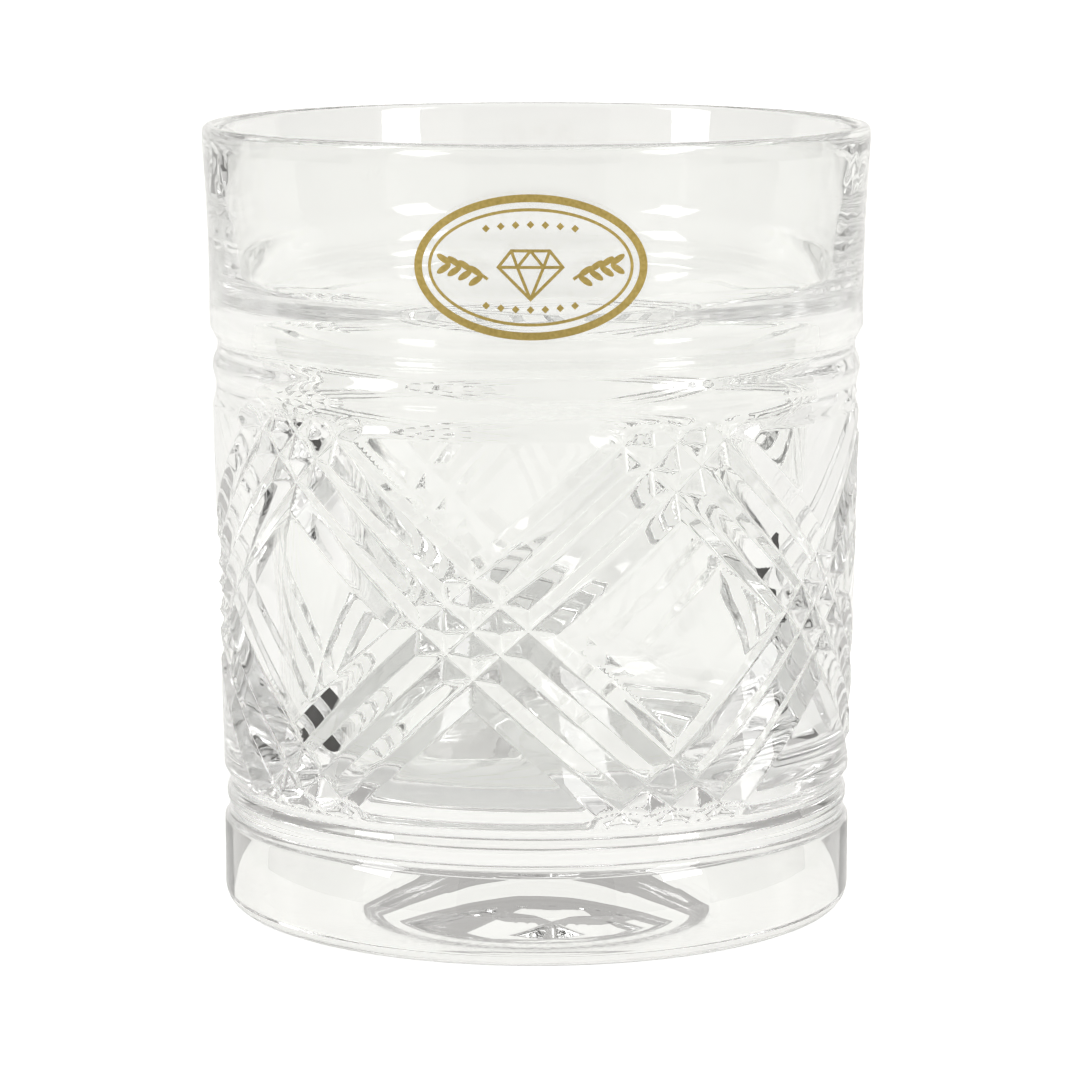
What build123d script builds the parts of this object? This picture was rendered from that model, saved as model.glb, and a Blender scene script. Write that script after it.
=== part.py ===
from math import atan, cos, degrees, radians, sin, sqrt
import os

from build123d import *

os.makedirs("parts", exist_ok=True)

# Whiskey tumbler in cut crystal, standing on its foot. Millimetres, +Z up.
# The origin is the middle of the foot circle, on the surface it stands on.

# Driving dimensions of the blank
height = 97.0
rim_radius = 41.0
lip_radius = 0.8
band_radius = 40.28
band_flare_start = 76.0
band_flare_end = 94.0
belly_top_radius = 40.0
belly_foot_radius = 39.05
foot_radius = 39.0
heel_radius = 2.5

# Turned rings: two round-bottomed grooves with a bead between, above and below the cutting
upper_rings_bottom = 63.0
upper_rings_top = 72.4
lower_rings_bottom = 10.9
lower_rings_top = 17.4

# Inside: a straight mouth, a shoulder where the wall thickens, a bowl and a thick floor
mouth_radius = rim_radius - 2 * lip_radius
shoulder_top = 79.5
shoulder_top_radius = 37.4
shoulder_foot = 74.2
shoulder_foot_radius = 35.0
bowl_foot_radius = 32.2
bowl_corner = 8.0
floor_height = 17.0
floor_dish = 0.5

# Underside: a shallow round hollow in the middle of the foot
hollow_radius = 18.0
hollow_depth = 1.1

# Cutting: five repeats of crossing bands, and three adjoining V grooves to a band.
# Each groove is wider below its bottom line than above it.
repeats = 5
grooves_in_band = 3
first_crossing_angle = -11.1
crossing_height = 40.3
rise_per_repeat = 43.5
groove_spacing_angle = 9.75
groove_upper_side = 2.10
groove_lower_side = 2.45
groove_depth = 1.2
cut_bottom = 18.0
cut_top = 62.6

# Sticker on the front of the plain band: a clear film with gilt printed on it
film_thickness = 0.10
gilt_thickness = 0.05
label_angle = -0.9
label_height = 83.0
label_half_width = 13.4
label_half_height = 8.4
border_line = 0.9
film_margin = 0.5
line_gap = 0.7
fine_line = 0.35

# Gilt ornament inside the border
gem_table = 2.2
gem_crown = 1.9
gem_girdle = 3.7
gem_facet = 1.5
gem_pavilion = 3.7
sprig_start = 4.9
sprig_end = 9.8
sprig_sag = 1.4
leaf_pairs = 4
leaf_lean = 35
leaf_length = 1.9
leaf_breadth = 0.75
bead_count = 7
bead_spacing = 1.7
bead_size = 0.45
bead_row_height = 4.9
bead_row_reach = 12.0


# Crystal blank: one revolved outline, foot to rim outside and rim to floor inside
flare_radius = ((band_flare_end - band_flare_start) ** 2) / (2 * (rim_radius - band_radius - 0.05))


def band_flare(z):
    """Radius of the plain band at height z: straight, then a long circular flare."""
    rise = max(0.0, z - band_flare_start)
    return band_radius + flare_radius - sqrt(flare_radius**2 - rise**2)


def upper_ring(share):
    """Height at a share of the way up the upper rings."""
    return upper_rings_bottom + share * (upper_rings_top - upper_rings_bottom)


def lower_ring(share):
    """Height at a share of the way up the lower rings."""
    return lower_rings_bottom + share * (lower_rings_top - lower_rings_bottom)


lip_centre = (rim_radius - lip_radius, height - lip_radius)
half = radians(45)
flare_middle = (band_flare_start + band_flare_end) / 2
shoulder_middle = (
    (shoulder_top_radius + shoulder_foot_radius) / 2,
    (shoulder_top + shoulder_foot) / 2,
)
corner_centre = (bowl_foot_radius - bowl_corner, floor_height + bowl_corner)

with BuildPart() as crystal_tumbler:
    with BuildSketch(Plane.XZ):
        with BuildLine():
            ThreePointArc(
                (0, hollow_depth),
                (hollow_radius / 2, hollow_depth * 3 / 4),
                (hollow_radius, 0),
            )
            Line((hollow_radius, 0), (foot_radius - heel_radius, 0))
            ThreePointArc(
                (foot_radius - heel_radius, 0),
                (foot_radius - heel_radius + heel_radius * sin(half), heel_radius * (1 - cos(half))),
                (foot_radius, heel_radius),
            )
            Line((foot_radius, heel_radius), (foot_radius, lower_rings_bottom))
            ThreePointArc(
                (foot_radius, lower_rings_bottom),
                (foot_radius - 0.68, lower_ring(0.24)),
                (foot_radius - 0.40, lower_ring(0.39)),
            )
            ThreePointArc(
                (foot_radius - 0.40, lower_ring(0.39)),
                (foot_radius - 0.28, lower_ring(0.50)),
                (foot_radius - 0.40, lower_ring(0.61)),
            )
            ThreePointArc(
                (foot_radius - 0.40, lower_ring(0.61)),
                (foot_radius - 0.72, lower_ring(0.77)),
                (belly_foot_radius, lower_rings_top),
            )
            Line((belly_foot_radius, lower_rings_top), (belly_top_radius, upper_rings_bottom))
            ThreePointArc(
                (belly_top_radius, upper_rings_bottom),
                (belly_top_radius - 0.45, upper_ring(0.21)),
                (belly_top_radius - 0.20, upper_ring(0.36)),
            )
            ThreePointArc(
                (belly_top_radius - 0.20, upper_ring(0.36)),
                (belly_top_radius - 0.03, upper_ring(0.48)),
                (belly_top_radius - 0.25, upper_ring(0.60)),
            )
            ThreePointArc(
                (belly_top_radius - 0.25, upper_ring(0.60)),
                (belly_top_radius - 0.66, upper_ring(0.76)),
                (band_radius - 0.40, upper_ring(0.91)),
            )
            Line((band_radius - 0.40, upper_ring(0.91)), (band_radius, upper_rings_top))
            Line((band_radius, upper_rings_top), (band_radius, band_flare_start))
            ThreePointArc(
                (band_radius, band_flare_start),
                (band_flare(flare_middle), flare_middle),
                (band_flare(band_flare_end), band_flare_end),
            )
            Line((band_flare(band_flare_end), band_flare_end), (rim_radius, height - lip_radius))
            ThreePointArc(
                (rim_radius, height - lip_radius),
                (lip_centre[0], height),
                (mouth_radius, height - lip_radius),
            )
            Line((mouth_radius, height - lip_radius), (shoulder_top_radius, shoulder_top))
            Spline(
                (shoulder_top_radius, shoulder_top),
                shoulder_middle,
                (shoulder_foot_radius, shoulder_foot),
                tangents=[(-0.12, -1), (-0.05, -1)],
            )
            Line((shoulder_foot_radius, shoulder_foot), (bowl_foot_radius, corner_centre[1]))
            ThreePointArc(
                (bowl_foot_radius, corner_centre[1]),
                (
                    corner_centre[0] + bowl_corner * cos(half),
                    corner_centre[1] - bowl_corner * sin(half),
                ),
                (corner_centre[0], floor_height),
            )
            Line((corner_centre[0], floor_height), (0, floor_height - floor_dish))
            Line((0, floor_height - floor_dish), (0, hollow_depth))
        make_face()
    revolve(axis=Axis.Z)


# Cutting wheel's path: a V section carried along a helix on the belly's slight cone
belly_slope = (belly_top_radius - belly_foot_radius) / (upper_rings_bottom - lower_rings_top)
helix_pitch = rise_per_repeat * repeats
run_past = 4.0
path_bottom = cut_bottom - run_past
path_height = cut_top - cut_bottom + 2 * run_past
path_radius = belly_foot_radius + (path_bottom - lower_rings_top) * belly_slope
proud = 0.6
opening = (groove_depth + proud) / groove_depth


def groove_cutter(lefthand):
    """One V groove as a solid, from the lower rings to the upper, starting at angle 0."""
    upward = 1 if lefthand else -1
    with BuildPart() as cutter:
        with BuildLine() as path:
            Helix(
                helix_pitch,
                path_height,
                path_radius,
                center=(0, 0, path_bottom),
                cone_angle=degrees(atan(belly_slope)),
                lefthand=lefthand,
            )
        start = path.line @ 0
        across = Plane(origin=start, x_dir=(start.X, start.Y, 0), z_dir=path.line % 0)
        with BuildSketch(across):
            with BuildLine():
                Polyline(
                    (-groove_depth, 0),
                    (proud, upward * groove_upper_side * opening),
                    (proud, -upward * groove_lower_side * opening),
                    close=True,
                )
            make_face()
        sweep(is_frenet=True)
        with BuildSketch(Plane.XZ):
            with Locations((foot_radius, (cut_bottom + cut_top) / 2)):
                Rectangle(8, cut_top - cut_bottom)
        revolve(axis=Axis.Z, mode=Mode.INTERSECT)
    return cutter.part


front = -90
turn_to_crossing = (crossing_height - path_bottom) / helix_pitch * 360
right_start = front + first_crossing_angle - turn_to_crossing
left_start = front + first_crossing_angle + turn_to_crossing
middle_groove = (grooves_in_band - 1) / 2

with crystal_tumbler:
    for lefthand, start_angle in ((False, right_start), (True, left_start)):
        wheel_cut = groove_cutter(lefthand)
        for groove in range(grooves_in_band):
            first = start_angle + (groove - middle_groove) * groove_spacing_angle
            with PolarLocations(0, repeats, start_angle=first):
                add(wheel_cut, mode=Mode.SUBTRACT)

crystal_tumbler.part.label = "crystal_tumbler"
export_step(crystal_tumbler.part, "parts/crystal_tumbler.step")


# Sticker: flat outlines drawn square to the front, carried back onto the plain band in thin layers
facing = radians(label_angle)
label_plane = Plane(
    origin=(0, 0, label_height),
    x_dir=(cos(facing), sin(facing), 0),
    z_dir=(sin(facing), -cos(facing), 0),
)
reach = rim_radius + 5
layer_bottom = label_height - label_half_height - 2
layer_top = label_height + label_half_height + 2
layer_middle = (band_flare_start + layer_top) / 2


def band_side(out):
    """The plain band's outline beside the sticker, moved out by the given distance."""
    Line((band_radius + out, layer_bottom), (band_radius + out, band_flare_start))
    ThreePointArc(
        (band_radius + out, band_flare_start),
        (band_flare(layer_middle) + out, layer_middle),
        (band_flare(layer_top) + out, layer_top),
    )


def laid_on_band(outline, inside, outside):
    """An outline as a curved layer that lies between two distances out from the band."""
    with BuildPart() as layer:
        extrude(outline, amount=reach, dir=label_plane.z_dir)
        with BuildSketch(Plane.XZ):
            with BuildLine():
                band_side(inside)
                band_side(outside)
                Line((band_radius + inside, layer_bottom), (band_radius + outside, layer_bottom))
                Line(
                    (band_flare(layer_top) + inside, layer_top),
                    (band_flare(layer_top) + outside, layer_top),
                )
            make_face()
        revolve(axis=Axis.Z, mode=Mode.INTERSECT)
    return layer.part


with BuildSketch(label_plane) as film_outline:
    Ellipse(label_half_width + film_margin, label_half_height + film_margin)

with BuildSketch(label_plane) as border_outline:
    Ellipse(label_half_width, label_half_height)
    Ellipse(label_half_width - border_line, label_half_height - border_line, mode=Mode.SUBTRACT)

with BuildSketch(label_plane) as inner_line_outline:
    inner_line_width = label_half_width - border_line - line_gap
    inner_line_height = label_half_height - border_line - line_gap
    Ellipse(inner_line_width, inner_line_height)
    Ellipse(inner_line_width - fine_line, inner_line_height - fine_line, mode=Mode.SUBTRACT)

# A cut gem seen from the side: its outline, with every facet of crown and pavilion left open
gem_table_left = (-gem_table, gem_crown)
gem_table_right = (gem_table, gem_crown)
gem_table_middle = (0, gem_crown)
gem_girdle_left = (-gem_girdle, 0)
gem_girdle_right = (gem_girdle, 0)
gem_facet_left = (-gem_facet, 0)
gem_facet_right = (gem_facet, 0)
gem_point = (0, -gem_pavilion)
gem_facets = (
    (gem_girdle_left, gem_facet_left, gem_table_left),
    (gem_facet_left, gem_table_middle, gem_table_left),
    (gem_facet_left, gem_facet_right, gem_table_middle),
    (gem_facet_right, gem_table_right, gem_table_middle),
    (gem_facet_right, gem_girdle_right, gem_table_right),
    (gem_girdle_left, gem_point, gem_facet_left),
    (gem_facet_left, gem_point, gem_facet_right),
    (gem_facet_right, gem_point, gem_girdle_right),
)
facet_gaps = []
for facet in gem_facets:
    with BuildSketch() as facet_gap:
        Polygon(*facet, align=None)
        offset(amount=-fine_line / 2)
    facet_gaps.append(facet_gap.sketch)

with BuildSketch(label_plane) as gem_outline:
    Polygon(gem_table_left, gem_table_right, gem_girdle_right, gem_point, gem_girdle_left, align=None)
    offset(amount=fine_line / 2, kind=Kind.INTERSECTION)
    for facet_gap in facet_gaps:
        add(facet_gap, mode=Mode.SUBTRACT)

# A sprig on each side of the gem: a curved stem with leaves in pairs
sprig_outlines = {}
for side_name, side in (("left", -1), ("right", 1)):
    with BuildSketch(label_plane) as sprig_outline:
        with BuildLine():
            ThreePointArc(
                (side * sprig_start, -sprig_sag),
                (side * (sprig_start + sprig_end) / 2, 0),
                (side * sprig_end, sprig_sag / 2),
            )
        trace(line_width=fine_line)
        for leaf in range(leaf_pairs):
            share = (leaf + 0.5) / leaf_pairs
            along = side * (sprig_start + share * (sprig_end - sprig_start))
            up = -sprig_sag * (1 - share) ** 2 + share * sprig_sag / 4
            for turn in (-leaf_lean, leaf_lean):
                tip = radians(turn)
                with Locations(
                    Location(
                        (along + side * leaf_length / 2 * cos(tip), up + leaf_length / 2 * sin(tip)),
                        turn * side,
                    )
                ):
                    Ellipse(leaf_length / 2, leaf_breadth / 2)
    sprig_outlines[side_name] = sprig_outline

# A row of beads under the border above, and above the border below
bead_outlines = {}
for row_name, up in (("upper", 1), ("lower", -1)):
    with BuildSketch(label_plane) as bead_outline:
        for bead in range(bead_count):
            across = (bead - (bead_count - 1) / 2) * bead_spacing
            height_of_row = bead_row_height * sqrt(1 - (across / bead_row_reach) ** 2)
            with Locations((across, up * height_of_row)):
                RegularPolygon(bead_size, 4)
    bead_outlines[row_name] = bead_outline

gilt_foot = film_thickness
gilt_face = film_thickness + gilt_thickness

with BuildPart() as label_film:
    add(laid_on_band(film_outline.sketch, 0, film_thickness))
label_film.part.label = "label_film"
export_step(label_film.part, "parts/label_film.step")

gilding = {
    "gilt_border": border_outline,
    "gilt_inner_line": inner_line_outline,
    "gilt_gem": gem_outline,
    "gilt_left_sprig": sprig_outlines["left"],
    "gilt_right_sprig": sprig_outlines["right"],
    "gilt_upper_beads": bead_outlines["upper"],
    "gilt_lower_beads": bead_outlines["lower"],
}
for name, outline in gilding.items():
    with BuildPart() as gilt:
        add(laid_on_band(outline.sketch, gilt_foot, gilt_face))
    gilt.part.label = name
    export_step(gilt.part, f"parts/{name}.step")
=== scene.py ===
"""Whiskey tumbler in cut crystal with a gilt sticker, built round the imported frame.

The tumbler is one closed surface: a turned outline carried round the axis, with the diagonal
wheel cuts taken out of the belly. The sticker keeps its frame pieces and gets finished materials.
"""

from math import radians

import bpy
import numpy as np
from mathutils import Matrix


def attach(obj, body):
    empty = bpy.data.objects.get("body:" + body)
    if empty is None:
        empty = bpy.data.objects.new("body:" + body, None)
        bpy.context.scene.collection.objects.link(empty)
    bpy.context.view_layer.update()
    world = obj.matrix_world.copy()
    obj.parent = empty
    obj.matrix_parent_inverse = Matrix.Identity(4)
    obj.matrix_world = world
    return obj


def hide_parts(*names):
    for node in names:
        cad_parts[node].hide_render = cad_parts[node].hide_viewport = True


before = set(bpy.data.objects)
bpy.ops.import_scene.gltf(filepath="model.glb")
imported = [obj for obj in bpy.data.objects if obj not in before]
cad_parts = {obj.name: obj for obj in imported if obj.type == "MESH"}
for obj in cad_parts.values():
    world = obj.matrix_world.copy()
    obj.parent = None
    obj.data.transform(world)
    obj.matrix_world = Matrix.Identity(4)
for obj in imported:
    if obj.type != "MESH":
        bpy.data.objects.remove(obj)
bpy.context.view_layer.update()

MM = 0.001

# Turned outline, in millimetres, as in the frame
HEIGHT = 97.0
RIM_RADIUS = 41.0
LIP_RADIUS = 0.8
BAND_RADIUS = 40.28
FLARE_START = 76.0
FLARE_END = 94.0
BELLY_TOP_RADIUS = 40.0
BELLY_FOOT_RADIUS = 39.05
FOOT_RADIUS = 39.0
HEEL_RADIUS = 2.5
UPPER_RINGS = (63.0, 72.4)
LOWER_RINGS = (10.9, 17.4)

# Points on the turned rings: share of the rings' height, and distance inside the radius they are cut from
LOWER_RING_MARKS = ((0.24, 0.68), (0.39, 0.40), (0.5, 0.28), (0.61, 0.40), (0.77, 0.72))
UPPER_RING_MARKS = ((0.21, 0.45), (0.36, 0.20), (0.48, 0.03), (0.60, 0.25), (0.76, 0.66))
UPPER_RING_CORNER = (0.91, 0.40)

# Lip, inside and underside, in millimetres
MOUTH_RADIUS = RIM_RADIUS - 2 * LIP_RADIUS
SHOULDER_TOP = (37.4, 79.5)
SHOULDER_FOOT = (35.0, 74.2)
BOWL_FOOT_RADIUS = 32.2
BOWL_CORNER = 8.0
FLOOR_HEIGHT = 17.0
FLOOR_DISH = 0.5
HOLLOW_RADIUS = 18.0
HOLLOW_DEPTH = 1.1
HOLLOW_FIRST_SHARE = 1 / 12
FLOOR_LAST_RADIUS = 2.0
FLARE_SHORTFALL = 0.05
ROW_GAP = 0.2

# Wheel cutting: steps of a lattice whose diagonals run along the grooves
REPEATS = 5
STEPS_PER_REPEAT = 96
COLUMNS = REPEATS * STEPS_PER_REPEAT
RISE_PER_REPEAT = 43.5
FIRST_CROSSING = -11.1
CROSSING_HEIGHT = 40.3
NARROW_SIDE = 6
WIDE_SIDE = 7
GROOVE_SPACING = NARROW_SIDE + WIDE_SIDE
GROOVE_SOFT = 0.25
GROOVE_DEPTH = 1.2
SHALLOWEST_CUT = 0.94
HAND_SEED = 7
WHEEL_LIFTS = (16.2, 65.2)
LIFT_RUN = 1.9
CUT_ROWS = 54
ROWS_TO_STRAIGHTEN = 3
STEP_ANGLE = 360 / COLUMNS
STEP_RISE = RISE_PER_REPEAT / STEPS_PER_REPEAT

# Crystal's finish: scuffs up to a height in metres, and waves that fade between two heights in metres
SCUFF_TOP = 0.0004
SCUFF_ROUGHNESS = 0.16
WAVES_FADE = (0.009, 0.018)
BASE_WAVES = 0.12

# Camera: its place in metres, its downward tilt in degrees, its lens and sensor in millimetres
CAMERA_PLACE = (0.00045, -0.5589, 0.1331)
CAMERA_TILT = 8.95
CAMERA_LENS = 151.57
CAMERA_SENSOR = 36

# Studio, in metres: a floor that bends up behind, dark panels, and a softbox on each side of the front
FLOOR_REACH = 9.0
FLOOR_DROP = 0.0002
BEND_START = 1.0
BEND_RADIUS = 0.2
WALL_TOP = 0.55
PANEL_TURNS = (0, -88, 88)
PANEL_WIDTHS = (2.6, 0.9, 0.9)
PANEL_DISTANCES = (2.4, 1.0, 1.0)
PANEL_HEIGHTS = (2.2, 1.4, 1.4)
SOFTBOX_TURNS = {"left_softbox": -62, "right_softbox": 54}
SOFTBOX_RISE = 30
SOFTBOX_DISTANCE = 0.9
SOFTBOX_LIFT = 0.05
SOFTBOX_SIZE = (0.25, 0.5)
SOFTBOX_WATTS = 2.2
FLOOR_GLOW = 0.38
FLOOR_GLOW_SEEN_DIRECTLY = 0.5


def arc(start, through, end, count):
    """Points from start to end on the circle that also passes through the middle point.

    The centre is where the perpendicular bisectors of the two chords meet, and the points
    are at even angles from the start's angle to the end's, the way that passes the middle.
    """
    a, b, c = (np.array(p, float) for p in (start, through, end))
    sides = 2 * np.array([b - a, c - a])
    centre = np.linalg.solve(sides, [b @ b - a @ a, c @ c - a @ a])
    angles = np.unwrap([np.arctan2(*(p - centre)[::-1]) for p in (a, b, c)])
    turn = np.linspace(angles[0], angles[2], count)
    radius = np.linalg.norm(a - centre)
    return centre + radius * np.stack([np.cos(turn), np.sin(turn)], axis=1)


def run(start, end, count=2):
    """Points at even steps on the straight line from start to end."""
    return np.linspace(start, end, count)


def joined(*stretches):
    """One outline from stretches that each start where the last one ended."""
    return np.concatenate([stretches[0]] + [s[1:] for s in stretches[1:]])


def eased(share):
    """A share from 0 to 1 that starts and ends level."""
    return share * share * (3 - 2 * share)


def band_flare(z):
    """The plain band's radius at height z: straight, then a circle that leans out."""
    circle = (FLARE_END - FLARE_START) ** 2 / (2 * (RIM_RADIUS - BAND_RADIUS - FLARE_SHORTFALL))
    rise = np.maximum(0.0, z - FLARE_START)
    return BAND_RADIUS + circle - np.sqrt(circle**2 - rise**2)


def ring_points(radius, span, marks):
    """Points at given shares of a span of heights, each a given distance inside a radius."""
    low, high = span
    return [(radius - inside, low + share * (high - low)) for share, inside in marks]


def lower_rings():
    """Two round grooves with a bead between them, over the foot band, rising to the belly."""
    low, high = LOWER_RINGS
    groove, edge, bead, next_edge, next_groove = ring_points(FOOT_RADIUS, LOWER_RINGS, LOWER_RING_MARKS)
    return joined(
        arc((FOOT_RADIUS, low), groove, edge, 5),
        arc(edge, bead, next_edge, 4),
        arc(next_edge, next_groove, (BELLY_FOOT_RADIUS, high), 7),
    )


def upper_rings():
    """Two round grooves with a bead between them, from the belly to the band's lower edge."""
    low, high = UPPER_RINGS
    top = BELLY_TOP_RADIUS
    groove, edge, bead, next_edge, next_groove = ring_points(top, UPPER_RINGS, UPPER_RING_MARKS)
    (corner,) = ring_points(BAND_RADIUS, UPPER_RINGS, [UPPER_RING_CORNER])
    return joined(
        arc((top, low), groove, edge, 6),
        arc(edge, bead, next_edge, 5),
        arc(next_edge, next_groove, corner, 7),
        run(corner, (BAND_RADIUS, high)),
    )


def outside_outline():
    """Outside outline, foot to band, as the belly would stand with no cuts in it."""
    belly = run((BELLY_FOOT_RADIUS, LOWER_RINGS[1]), (BELLY_TOP_RADIUS, UPPER_RINGS[0]))
    return joined(lower_rings(), belly, upper_rings())


def outside_radius(z):
    """Radius of the uncut outside at heights z, between the foot band and the plain band."""
    outline = outside_outline()
    return np.interp(z, outline[:, 1], outline[:, 0])


def groove_offset(line):
    """Steps from each lattice line to its groove's bottom, and that groove's number.

    Grooves adjoin in threes. The narrow side of each is towards larger offsets.
    """
    within = (line + STEPS_PER_REPEAT // 2) % STEPS_PER_REPEAT - STEPS_PER_REPEAT // 2
    groove = np.clip(np.rint((within + (WIDE_SIDE - NARROW_SIDE) / 2) / GROOVE_SPACING), -1, 1)
    repeat = np.floor((line + STEPS_PER_REPEAT // 2) / STEPS_PER_REPEAT) % REPEATS
    return within - groove * GROOVE_SPACING, (repeat * 3 + groove + 1).astype(int)


def drawn_to_edges(offset):
    """Moves lattice lines across a groove so that they bunch at its bottom and at its two edges."""
    edges = np.array([[-WIDE_SIDE], [0], [NARROW_SIDE]]) + [-1, 0, 1]
    lines = np.concatenate([[-WIDE_SIDE - 4], edges.ravel(), [NARROW_SIDE + 4]])
    moves = (1 - GROOVE_SOFT) * np.array([0, 1, 0, -1, 1, 0, -1, 1, 0, -1, 0])
    return offset + np.interp(offset, lines, moves)


def groove_profile(offset):
    """Depth of a wheel cut: two flat sides from its bottom to its two edges, each edge just rounded."""
    soft = GROOVE_SOFT
    side = np.where(offset > 0, NARROW_SIDE, WIDE_SIDE)
    away = np.abs(offset)
    depth = 1 - away / side
    depth = np.where(away < soft, 1 - (away**2 + soft**2) / (2 * soft * side), depth)
    depth = np.where(away > side - soft, (side + soft - away) ** 2 / (4 * soft * side), depth)
    return np.where(away > side + soft, 0.0, depth)


def cut_surface(column, row):
    """Angle, radius and height of lattice points on the cut belly.

    A point is at column i and row j. Lines of equal j - i run along one family of grooves and
    lines of equal i + j along the other. Each line is moved across its groove by
    drawn_to_edges, and the radius is the uncut one less the deeper of the two cuts, which
    fade out where the wheel lifts, before the rings.
    """
    rising, rising_id = groove_offset(row - column)
    falling, falling_id = groove_offset(row + column)
    hold = np.clip((CUT_ROWS - np.abs(row)) / ROWS_TO_STRAIGHTEN, 0, 1)
    rising_moved = rising + hold * (drawn_to_edges(rising) - rising)
    falling_moved = falling + hold * (drawn_to_edges(falling) - falling)
    rising_line = row - column + rising_moved - rising
    falling_line = row + column + falling_moved - falling
    angle = FIRST_CROSSING + STEP_ANGLE * (falling_line - rising_line) / 2
    z = CROSSING_HEIGHT + STEP_RISE * (falling_line + rising_line) / 2
    hand = np.random.default_rng(HAND_SEED)
    rising_depth, falling_depth = hand.uniform(SHALLOWEST_CUT, 1.0, (2, REPEATS * 3))
    cut = np.maximum(
        rising_depth[rising_id] * groove_profile(rising_moved),
        falling_depth[falling_id] * groove_profile(falling_moved),
    )
    low, high = WHEEL_LIFTS
    pressed = eased(np.clip((high - z) / LIFT_RUN, 0, 1) * np.clip((z - low) / LIFT_RUN, 0, 1))
    share = (z - LOWER_RINGS[1]) / (UPPER_RINGS[0] - LOWER_RINGS[1])
    belly = BELLY_FOOT_RADIUS + share * (BELLY_TOP_RADIUS - BELLY_FOOT_RADIUS)
    radius = np.minimum(outside_radius(z), belly - GROOVE_DEPTH * cut * pressed)
    return angle, radius, z


def placed(angle, radius, z):
    """Points in metres from angles in degrees, measured from the front towards +X, radii and heights."""
    turn = np.radians(angle)
    return MM * np.stack([radius * np.sin(turn), -radius * np.cos(turn), z + 0 * turn], axis=-1)


def turned(outline):
    """An outline of radius and height, carried round the axis: one row of points for each of its own."""
    angle = FIRST_CROSSING + STEP_ANGLE * np.arange(COLUMNS)
    radius, z = np.broadcast_to(outline.T[:, :, None], (2, len(outline), COLUMNS))
    return placed(angle[None, :], radius, z)


def tumbler_rows():
    """All rows of the tumbler's surface, from the foot's middle out, up, over the lip and down inside."""
    row = np.arange(-CUT_ROWS, CUT_ROWS + 1)[:, None]
    column = np.arange(COLUMNS)[None, :]
    belly = placed(*cut_surface(column + 0 * row, row + 0 * column))
    lowest = CROSSING_HEIGHT - STEP_RISE * CUT_ROWS
    highest = CROSSING_HEIGHT + STEP_RISE * CUT_ROWS
    heel = FOOT_RADIUS - HEEL_RADIUS
    soft = HEEL_RADIUS * (1 - 0.5**0.5)
    hollow = lambda share: (HOLLOW_RADIUS * share, HOLLOW_DEPTH * (1 - share**2))
    below = joined(
        arc(hollow(HOLLOW_FIRST_SHARE), hollow(0.5), hollow(1), 7),
        run((HOLLOW_RADIUS, 0), (heel, 0)),
        arc((heel, 0), (FOOT_RADIUS - soft, soft), (FOOT_RADIUS, HEEL_RADIUS), 7),
        run((FOOT_RADIUS, HEEL_RADIUS), (FOOT_RADIUS, LOWER_RINGS[0])),
        lower_rings(),
    )
    below = below[below[:, 1] < lowest - ROW_GAP]
    lip_z = HEIGHT - LIP_RADIUS
    corner = (BOWL_FOOT_RADIUS - BOWL_CORNER, FLOOR_HEIGHT + BOWL_CORNER)
    tuck = BOWL_CORNER * 0.5**0.5
    tucked = (corner[0] + tuck, corner[1] - tuck)
    rings = upper_rings()
    shoulder = np.linspace(0, 1, 8)[:, None]
    swing = np.concatenate([eased(shoulder), shoulder], axis=1)
    bend = np.array(SHOULDER_TOP) + swing * np.subtract(SHOULDER_FOOT, SHOULDER_TOP)
    flare = np.linspace(FLARE_START, FLARE_END, 5)
    above = joined(
        rings[rings[:, 1] > highest + ROW_GAP],
        run((BAND_RADIUS, UPPER_RINGS[1]), (BAND_RADIUS, FLARE_START)),
        np.stack([band_flare(flare), flare], axis=1),
        run((band_flare(FLARE_END), FLARE_END), (RIM_RADIUS, lip_z)),
        arc((RIM_RADIUS, lip_z), (RIM_RADIUS - LIP_RADIUS, HEIGHT), (MOUTH_RADIUS, lip_z), 7),
        run((MOUTH_RADIUS, lip_z), SHOULDER_TOP),
        bend,
        run(SHOULDER_FOOT, (BOWL_FOOT_RADIUS, corner[1])),
        arc((BOWL_FOOT_RADIUS, corner[1]), tucked, (corner[0], FLOOR_HEIGHT), 7),
        run((corner[0], FLOOR_HEIGHT), (FLOOR_LAST_RADIUS, FLOOR_HEIGHT - FLOOR_DISH)),
    )
    return turned(below), belly, turned(above)


def split_cells(row, column):
    """For lattice cells, whether a rising groove and whether a falling groove touches them."""
    rising = np.zeros(np.broadcast(row, column).shape, bool)
    falling = rising.copy()
    for up in (0, 1):
        for along in (0, 1):
            i, j = column + along, row + up
            across_rising, across_falling = groove_offset(j - i)[0], groove_offset(j + i)[0]
            rising |= (across_rising > -WIDE_SIDE - 1) & (across_rising < NARROW_SIDE + 1)
            falling |= (across_falling > -WIDE_SIDE - 1) & (across_falling < NARROW_SIDE + 1)
    return rising, falling


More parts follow.
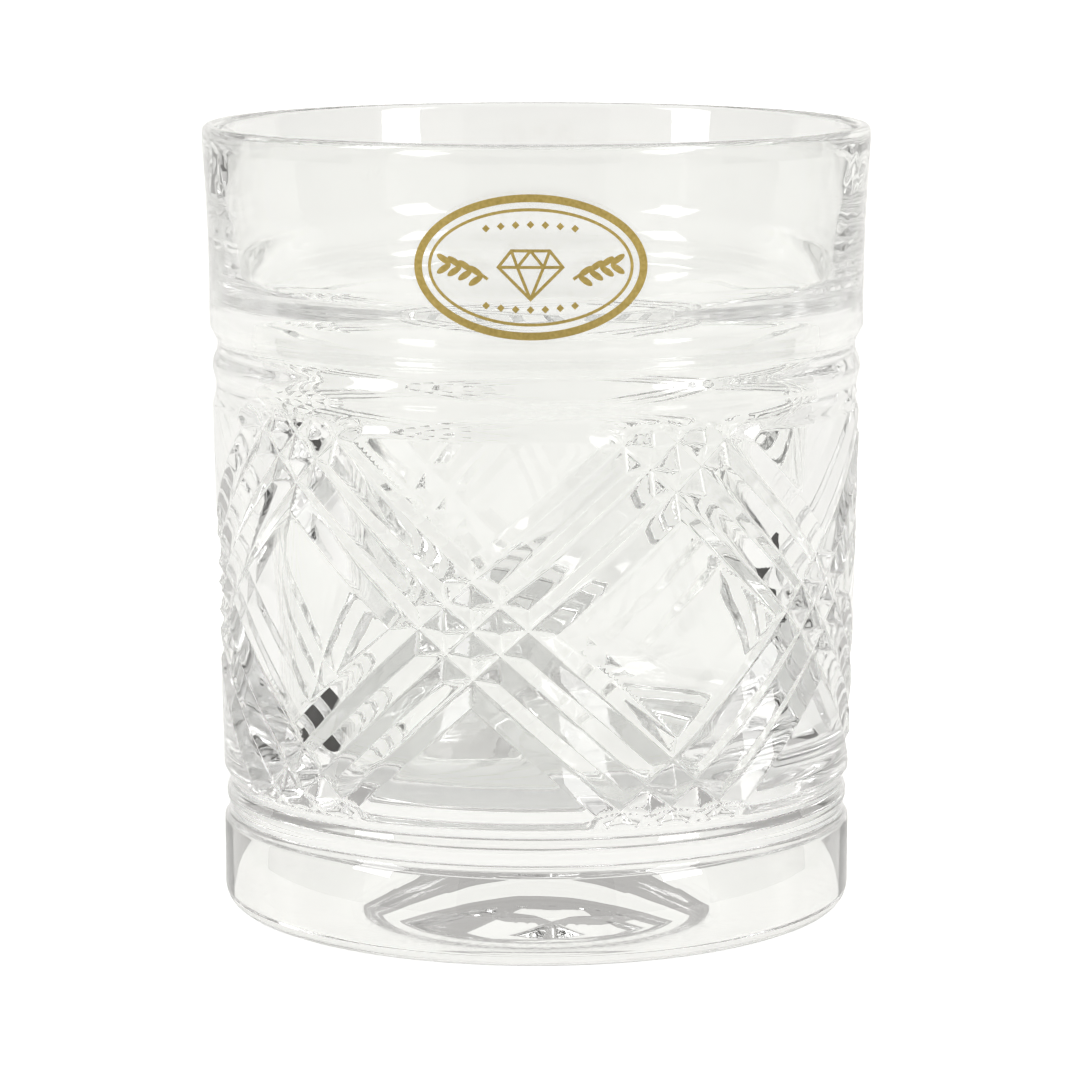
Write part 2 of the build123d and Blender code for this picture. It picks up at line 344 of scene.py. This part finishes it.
def tumbler_mesh():
    """The tumbler as one closed mesh.

    Rows of points follow the outline and columns go round. Belly cells are split along the
    groove that crosses them, and into four where both families cross, so that every cut has
    straight edges. The two rows at the axis are closed by fans.
    """
    below, belly, above = tumbler_rows()
    points = np.concatenate([below, belly, above])
    rows = len(points)
    numbers = np.arange(rows * COLUMNS).reshape(rows, COLUMNS)
    here, there = numbers[:-1], numbers[1:]
    a, b = here, np.roll(here, -1, axis=1)
    d, c = there, np.roll(there, -1, axis=1)
    first = len(below)
    row = np.arange(-CUT_ROWS, CUT_ROWS)[:, None]
    column = np.arange(COLUMNS)[None, :]
    rising, falling = np.zeros((2, rows - 1, COLUMNS), bool)
    rising[first : first + 2 * CUT_ROWS], falling[first : first + 2 * CUT_ROWS] = split_cells(row, column)
    both = rising & falling
    down = falling & ~rising
    up = ~both & ~down
    cell_row, cell_column = np.nonzero(both)
    middles = placed(*cut_surface(cell_column + 0.5, cell_row - first - CUT_ROWS + 0.5))
    m = rows * COLUMNS + np.arange(len(middles))
    foot_middle = rows * COLUMNS + len(middles)
    floor_middle = foot_middle + 1
    ends = MM * np.array([[0, 0, HOLLOW_DEPTH], [0, 0, FLOOR_HEIGHT - FLOOR_DISH]])
    vertices = np.concatenate([points.reshape(-1, 3), middles, ends])
    cells = lambda mask, *corners: np.stack([numbered[mask] for numbered in corners], axis=1)
    foot_ring, foot_next = numbers[0], np.roll(numbers[0], -1)
    floor_ring, floor_next = numbers[-1], np.roll(numbers[-1], -1)
    faces = np.concatenate(
        [
            cells(up, a, b, c),
            cells(up, a, c, d),
            cells(down, a, b, d),
            cells(down, b, c, d),
            np.stack([a[both], b[both], m], axis=1),
            np.stack([b[both], c[both], m], axis=1),
            np.stack([c[both], d[both], m], axis=1),
            np.stack([d[both], a[both], m], axis=1),
            np.stack([foot_next, foot_ring, np.full(COLUMNS, foot_middle)], axis=1),
            np.stack([floor_ring, floor_next, np.full(COLUMNS, floor_middle)], axis=1),
        ]
    )
    return vertices, faces


def mesh_piece(name, vertices, faces):
    """A new object at the origin, with its place in its mesh."""
    mesh = bpy.data.meshes.new(name)
    mesh.from_pydata(vertices.tolist(), [], faces.tolist())
    mesh.validate()
    mesh.shade_smooth()
    piece = bpy.data.objects.new(name, mesh)
    bpy.context.collection.objects.link(piece)
    return piece


def new_material(name):
    """A node material with its Principled shader, ready for nodes to feed it."""
    material = bpy.data.materials.new(name)
    material.use_nodes = True
    return material, material.node_tree, material.node_tree.nodes["Principled BSDF"]


def surface_marks():
    """A node group of uneven handwork: slow waves as a height, and fine patches as a mask.

    Waves and Patches are sizes per metre. Balance shifts the patches towards more or less.
    """
    group = bpy.data.node_groups.new("surface_marks", "ShaderNodeTree")
    face = group.interface
    for name, value in (("Waves", 150.0), ("Patches", 900.0), ("Balance", 0.5)):
        face.new_socket(name=name, in_out="INPUT", socket_type="NodeSocketFloat").default_value = value
    face.new_socket(name="Height", in_out="OUTPUT", socket_type="NodeSocketFloat")
    face.new_socket(name="Mask", in_out="OUTPUT", socket_type="NodeSocketFloat")
    given, result = group.nodes.new("NodeGroupInput"), group.nodes.new("NodeGroupOutput")
    place = group.nodes.new("ShaderNodeTexCoord")
    waves, patches = group.nodes.new("ShaderNodeTexNoise"), group.nodes.new("ShaderNodeTexNoise")
    waves.inputs["Detail"].default_value = 1.0
    patches.inputs["Detail"].default_value = 6.0
    shift = group.nodes.new("ShaderNodeMath")
    shift.operation = "ADD"
    shift.use_clamp = True
    centred = group.nodes.new("ShaderNodeMath")
    centred.operation = "MULTIPLY_ADD"
    centred.inputs[1].default_value = 2.2
    centred.inputs[2].default_value = -1.1
    link = group.links.new
    link(place.outputs["Object"], waves.inputs["Vector"])
    link(place.outputs["Object"], patches.inputs["Vector"])
    link(given.outputs["Waves"], waves.inputs["Scale"])
    link(given.outputs["Patches"], patches.inputs["Scale"])
    link(patches.outputs["Fac"], centred.inputs[0])
    link(centred.outputs[0], shift.inputs[0])
    link(given.outputs["Balance"], shift.inputs[1])
    link(waves.outputs["Fac"], result.inputs["Height"])
    link(shift.outputs[0], result.inputs["Mask"])
    return group


def marked(tree, group, waves, patches, balance, depth):
    """The marks group placed in a material with its own values, and a bump of its waves."""
    marks = tree.nodes.new("ShaderNodeGroup")
    marks.node_tree = group
    marks.inputs["Waves"].default_value = waves
    marks.inputs["Patches"].default_value = patches
    marks.inputs["Balance"].default_value = balance
    bump = tree.nodes.new("ShaderNodeBump")
    bump.inputs["Distance"].default_value = depth
    tree.links.new(marks.outputs["Height"], bump.inputs["Height"])
    return marks, bump


def ranged(tree, source, low, high, to_low, to_high):
    """A value carried from one range to another, held at the ends."""
    node = tree.nodes.new("ShaderNodeMapRange")
    node.inputs["From Min"].default_value = low
    node.inputs["From Max"].default_value = high
    node.inputs["To Min"].default_value = to_low
    node.inputs["To Max"].default_value = to_high
    tree.links.new(source, node.inputs["Value"])
    return node.outputs["Result"]


def product(tree, first, second):
    """Two values multiplied."""
    node = tree.nodes.new("ShaderNodeMath")
    node.operation = "MULTIPLY"
    tree.links.new(first, node.inputs[0])
    tree.links.new(second, node.inputs[1])
    return node.outputs[0]


def crystal_material(group):
    """Clear lead crystal: slow waves from the wheel that fade in the base, and scuffs underneath."""
    material, tree, shader = new_material("cut_crystal")
    shader.inputs["Base Color"].default_value = (0.985, 0.99, 0.98, 1)
    shader.inputs["Transmission Weight"].default_value = 1.0
    shader.inputs["IOR"].default_value = 1.545
    marks, bump = marked(tree, group, waves=170.0, patches=1500.0, balance=0.45, depth=0.000035)
    tree.links.new(bump.outputs["Normal"], shader.inputs["Normal"])
    place, parts = tree.nodes.new("ShaderNodeTexCoord"), tree.nodes.new("ShaderNodeSeparateXYZ")
    tree.links.new(place.outputs["Object"], parts.inputs["Vector"])
    standing = ranged(tree, parts.outputs["Z"], 0.0, SCUFF_TOP, SCUFF_ROUGHNESS, 0.0)
    worked = ranged(tree, parts.outputs["Z"], *WAVES_FADE, BASE_WAVES, 1.0)
    tree.links.new(product(tree, standing, marks.outputs["Mask"]), shader.inputs["Roughness"])
    tree.links.new(product(tree, worked, marks.outputs["Height"]), bump.inputs["Height"])
    return material


def gilt_material(group):
    """Dull gold foil: patches of a warmer and a greener gold, rougher where the foil is thin."""
    material, tree, shader = new_material("gilt_foil")
    marks, bump = marked(tree, group, waves=1200.0, patches=2600.0, balance=0.5, depth=0.00003)
    tone = tree.nodes.new("ShaderNodeMix")
    tone.data_type = "RGBA"
    tone.inputs["A"].default_value = (0.44, 0.32, 0.085, 1)
    tone.inputs["B"].default_value = (0.60, 0.455, 0.15, 1)
    tree.links.new(marks.outputs["Mask"], tone.inputs["Factor"])
    tree.links.new(tone.outputs["Result"], shader.inputs["Base Color"])
    tree.links.new(ranged(tree, marks.outputs["Mask"], 0, 1, 0.52, 0.34), shader.inputs["Roughness"])
    tree.links.new(bump.outputs["Normal"], shader.inputs["Normal"])
    shader.inputs["Metallic"].default_value = 0.7
    return material


def film_material(group):
    """Clear sticker film, almost unseen, with a faint orange-peel gloss."""
    material, tree, shader = new_material("clear_film")
    marks, bump = marked(tree, group, waves=900.0, patches=1800.0, balance=0.5, depth=0.00001)
    shader.inputs["Base Color"].default_value = (0.97, 0.97, 0.96, 1)
    shader.inputs["Alpha"].default_value = 0.05
    tree.links.new(ranged(tree, marks.outputs["Mask"], 0, 1, 0.06, 0.2), shader.inputs["Roughness"])
    tree.links.new(bump.outputs["Normal"], shader.inputs["Normal"])
    return material


def camera():
    """Camera in front of the tumbler, a little above its rim, looking slightly down."""
    data = bpy.data.cameras.new("camera")
    data.sensor_width = CAMERA_SENSOR
    data.lens = CAMERA_LENS
    eye = bpy.data.objects.new("camera", data)
    eye.location = CAMERA_PLACE
    eye.rotation_euler = (radians(90 - CAMERA_TILT), 0, 0)
    bpy.context.collection.objects.link(eye)
    bpy.context.scene.camera = eye


def standing_panels(turns, widths, distances, heights):
    """Upright panels that face the middle: each stands square to its own direction, on the floor."""
    turn = np.radians(np.array(turns, float))[:, None]
    across = np.array([-0.5, 0.5, 0.5, -0.5]) * np.array(widths)[:, None]
    up = np.array([0.0, 0.0, 1.0, 1.0]) * np.array(heights)[:, None]
    away = np.array(distances)[:, None]
    x = away * np.sin(turn) + across * np.cos(turn)
    y = -away * np.cos(turn) + across * np.sin(turn)
    return np.stack([x, y, up], axis=-1).reshape(-1, 3), np.arange(4 * len(turns)).reshape(-1, 4)


def cove():
    """The floor: flat to behind the tumbler, then bent up through a quarter circle to a low wall."""
    bend = np.linspace(0, np.pi / 2, 17)
    bent_back, bent_up = BEND_RADIUS * np.sin(bend), BEND_RADIUS * (1 - np.cos(bend))
    depth = np.concatenate([[-FLOOR_REACH], BEND_START + bent_back, [BEND_START + BEND_RADIUS]])
    up = np.concatenate([[0.0], bent_up, [WALL_TOP]]) - FLOOR_DROP
    across, depth, up = np.broadcast_arrays([-FLOOR_REACH, FLOOR_REACH], depth[:, None], up[:, None])
    points = np.stack([across, depth, up], axis=-1)
    first = 2 * np.arange(len(points) - 1)
    return points.reshape(-1, 3), np.stack([first, first + 1, first + 3, first + 2], axis=1)


def studio():
    """A pale glowing floor, dark panels in front and at the sides, two softboxes and a grey room."""
    floor = mesh_piece("floor", *cove())
    material, tree, shader = new_material("pale_floor")
    shader.inputs["Base Color"].default_value = (0.92, 0.92, 0.905, 1)
    shader.inputs["Roughness"].default_value = 0.7
    shader.inputs["Specular IOR Level"].default_value = 0.2
    seen = tree.nodes.new("ShaderNodeLightPath")
    glow = tree.nodes.new("ShaderNodeMath")
    glow.operation = "MULTIPLY_ADD"
    glow.inputs[1].default_value = FLOOR_GLOW_SEEN_DIRECTLY
    glow.inputs[2].default_value = FLOOR_GLOW
    tree.links.new(seen.outputs["Is Camera Ray"], glow.inputs[0])
    shader.inputs["Emission Color"].default_value = (1, 1, 0.985, 1)
    tree.links.new(glow.outputs[0], shader.inputs["Emission Strength"])
    floor.data.materials.append(material)
    panels = standing_panels(PANEL_TURNS, PANEL_WIDTHS, PANEL_DISTANCES, PANEL_HEIGHTS)
    walls = mesh_piece("walls", *panels)
    material, _, shader = new_material("grey_wall")
    shader.inputs["Base Color"].default_value = (0.03, 0.027, 0.025, 1)
    shader.inputs["Roughness"].default_value = 0.9
    shader.inputs["Specular IOR Level"].default_value = 0.1
    walls.data.materials.append(material)
    world = bpy.data.worlds.new("room")
    bpy.context.scene.world = world
    world.use_nodes = True
    background = world.node_tree.nodes["Background"]
    background.inputs["Color"].default_value = (0.50, 0.49, 0.48, 1)
    background.inputs["Strength"].default_value = 1.0
    rise = radians(SOFTBOX_RISE)
    for name, degrees in SOFTBOX_TURNS.items():
        lamp = bpy.data.lights.new(name, "AREA")
        lamp.shape = "RECTANGLE"
        lamp.size, lamp.size_y = SOFTBOX_SIZE
        lamp.energy = SOFTBOX_WATTS
        holder = bpy.data.objects.new(name, lamp)
        turn = radians(degrees)
        aim = np.array([np.sin(turn) * np.cos(rise), -np.cos(turn) * np.cos(rise), np.sin(rise)])
        holder.location = aim * SOFTBOX_DISTANCE + np.array([0, 0, SOFTBOX_LIFT])
        holder.rotation_euler = (radians(90 - SOFTBOX_RISE), 0, turn)
        bpy.context.collection.objects.link(holder)


camera()
crystal = mesh_piece("crystal_body", *tumbler_mesh())
marks_group = surface_marks()
crystal.data.materials.append(crystal_material(marks_group))
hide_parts("crystal_tumbler")
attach(crystal, "root")
gilt = gilt_material(marks_group)
film = film_material(marks_group)
for name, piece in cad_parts.items():
    if name.startswith("gilt"):
        piece.data.materials.clear()
        piece.data.materials.append(gilt)
    elif name == "label_film":
        piece.data.materials.clear()
        piece.data.materials.append(film)
studio()

scene = bpy.context.scene
scene.view_settings.view_transform = "Standard"
scene.cycles.max_bounces = 32
scene.cycles.glossy_bounces = 24
scene.cycles.transmission_bounces = 24
